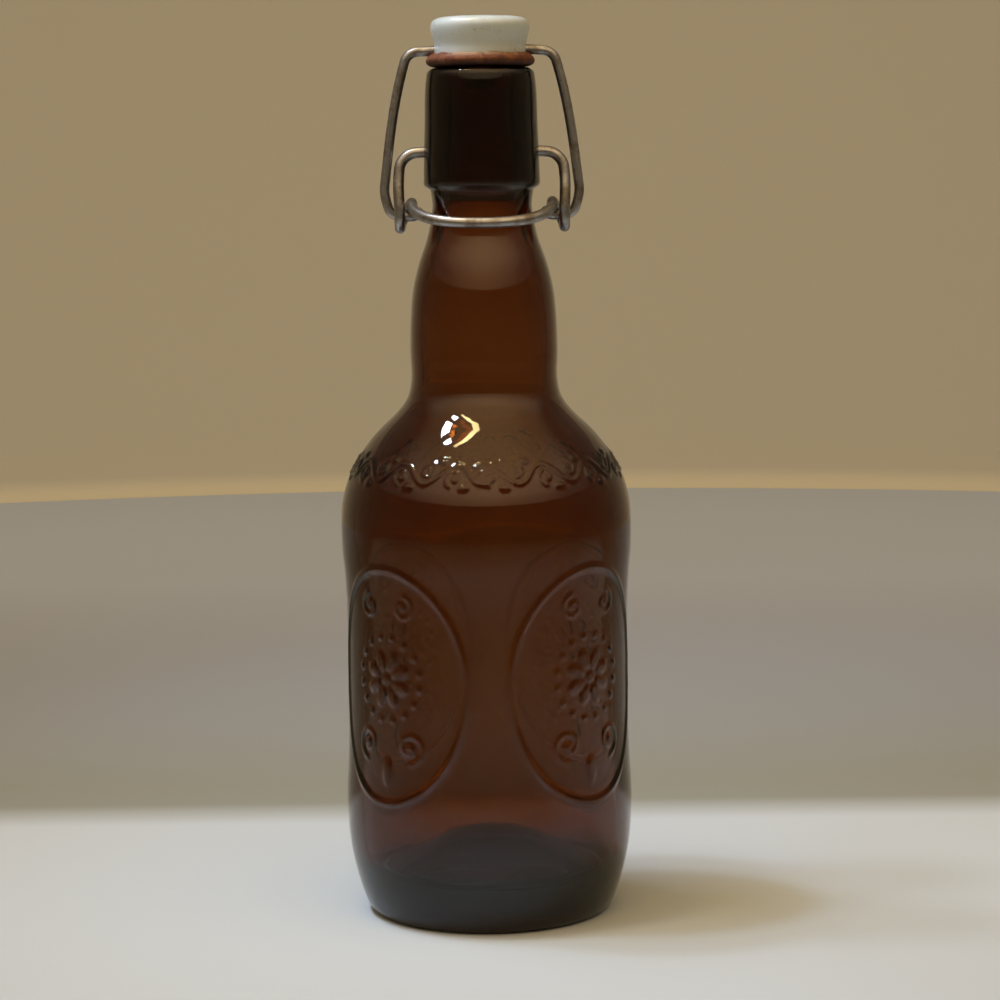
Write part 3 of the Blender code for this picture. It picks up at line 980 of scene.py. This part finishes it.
def stage_pieces():
    """A round floor, and round it a wall that rises from a small cove."""
    rings = 24
    floor_outline = [Vector((FLOOR_RADIUS * k / rings, 0.0)) for k in range(rings + 1)]
    steps = 6
    wall_outline = [Vector((FLOOR_RADIUS, 0.0))]
    for k in range(1, steps + 1):
        angle = math.pi / 2 * k / steps
        wall_outline.append(Vector((FLOOR_RADIUS + COVE * math.sin(angle), COVE * (1.0 - math.cos(angle)))))
    wall_outline.append(Vector((FLOOR_RADIUS + COVE, WALL_HEIGHT)))
    for name, outline, finish in (
        ("floor", floor_outline, pale_floor()),
        ("backdrop", wall_outline, pale_backdrop()),
    ):
        rows = []
        for radius, height in outline[::-1]:
            if radius < ON_AXIS:
                rows.append(pole(height))
            else:
                rows.append(ring_points(around(STAGE_COLUMNS), radius, height))
        lathe(name, rows, finish)


def camera():
    data = bpy.data.cameras.new("camera")
    data.lens = CAMERA_LENS
    data.sensor_width = CAMERA_SENSOR
    data.clip_start = 0.01
    made = bpy.data.objects.new("camera", data)
    bpy.context.scene.collection.objects.link(made)
    ahead = Vector(
        (
            math.sin(CAMERA_YAW) * math.cos(CAMERA_PITCH),
            math.cos(CAMERA_YAW) * math.cos(CAMERA_PITCH),
            -math.sin(CAMERA_PITCH),
        )
    )
    level = ahead.to_track_quat("-Z", "Y").to_matrix()
    turned = level @ Matrix.Rotation(-CAMERA_ROLL, 3, "Z")
    made.matrix_world = Matrix.Translation(CAMERA_PLACE) @ turned.to_4x4()
    bpy.context.scene.camera = made


def area_light(name, place, size, power, colour, spread):
    data = bpy.data.lights.new(name, "AREA")
    data.shape = "RECTANGLE"
    data.size, data.size_y = size
    data.energy = power
    data.color = colour
    data.spread = math.radians(spread)
    made = bpy.data.objects.new(name, data)
    bpy.context.scene.collection.objects.link(made)
    place = Vector(place)
    middle = Vector((0.0, 0.0, cad_box[1][2] / 2))
    turned = (middle - place).to_track_quat("-Z", "Y").to_matrix()
    made.matrix_world = Matrix.Translation(place) @ turned.to_4x4()
    made.visible_camera = False
    return made


def lights():
    """A wide daylight that glass doesn't mirror, two small panes and a strip that it does, and a soft sky."""
    daylight = area_light("daylight", *DAYLIGHT)
    daylight.visible_glossy = daylight.visible_transmission = False
    area_light("pane_near", *PANE_NEAR)
    area_light("pane_far", *PANE_FAR)
    area_light("strip", *STRIP)
    world = bpy.data.worlds.new("studio")
    world.use_nodes = True
    tree = world.node_tree
    direction = add_node(tree, "ShaderNodeTexCoord").outputs["Generated"]
    behind = ramp_of(tree, part_of(tree, direction, "Y"), [(0.0, 0.0), (0.35, 1.0)])
    colour = mixed(tree, behind, ramp_of(tree, part_of(tree, direction, "Z"), SKY), SKY_BEHIND)
    toward = add_node(tree, "ShaderNodeVectorMath", operation="DOT_PRODUCT")
    toward.inputs[1].default_value = GLOW_FROM
    tree.links.new(direction, toward.inputs[0])
    colour = mixed(tree, 1.0, colour, ramp_of(tree, toward.outputs["Value"], GLOW), blend="ADD")
    tree.links.new(colour, tree.nodes["Background"].inputs["Color"])
    bpy.context.scene.world = world


# ---------------------------------------------------------------- putting it together


def dress(piece, node, body):
    """Says which body a piece moves with, and hides the node it stands for."""
    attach(piece, body)
    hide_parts(node)


camera()
stage_pieces()
lights()

steel = steel_wire()
dress(bottle_piece(), "bottle", "bottle")
dress(wire_piece("lever_wire", "lever", LEVER_END, steel), "lever", "lever")
dress(wire_piece("bail_wire", "bail", BAIL_END, steel), "bail", "bail")
dress(stopper_piece(), "stopper", "stopper")
dress(gasket_piece(), "gasket", "stopper")

scene = bpy.context.scene
scene.view_settings.view_transform = "Standard"
scene.cycles.max_bounces = 11
scene.cycles.transmission_bounces = 11
scene.cycles.glossy_bounces = 4
scene.cycles.adaptive_threshold = 0.03
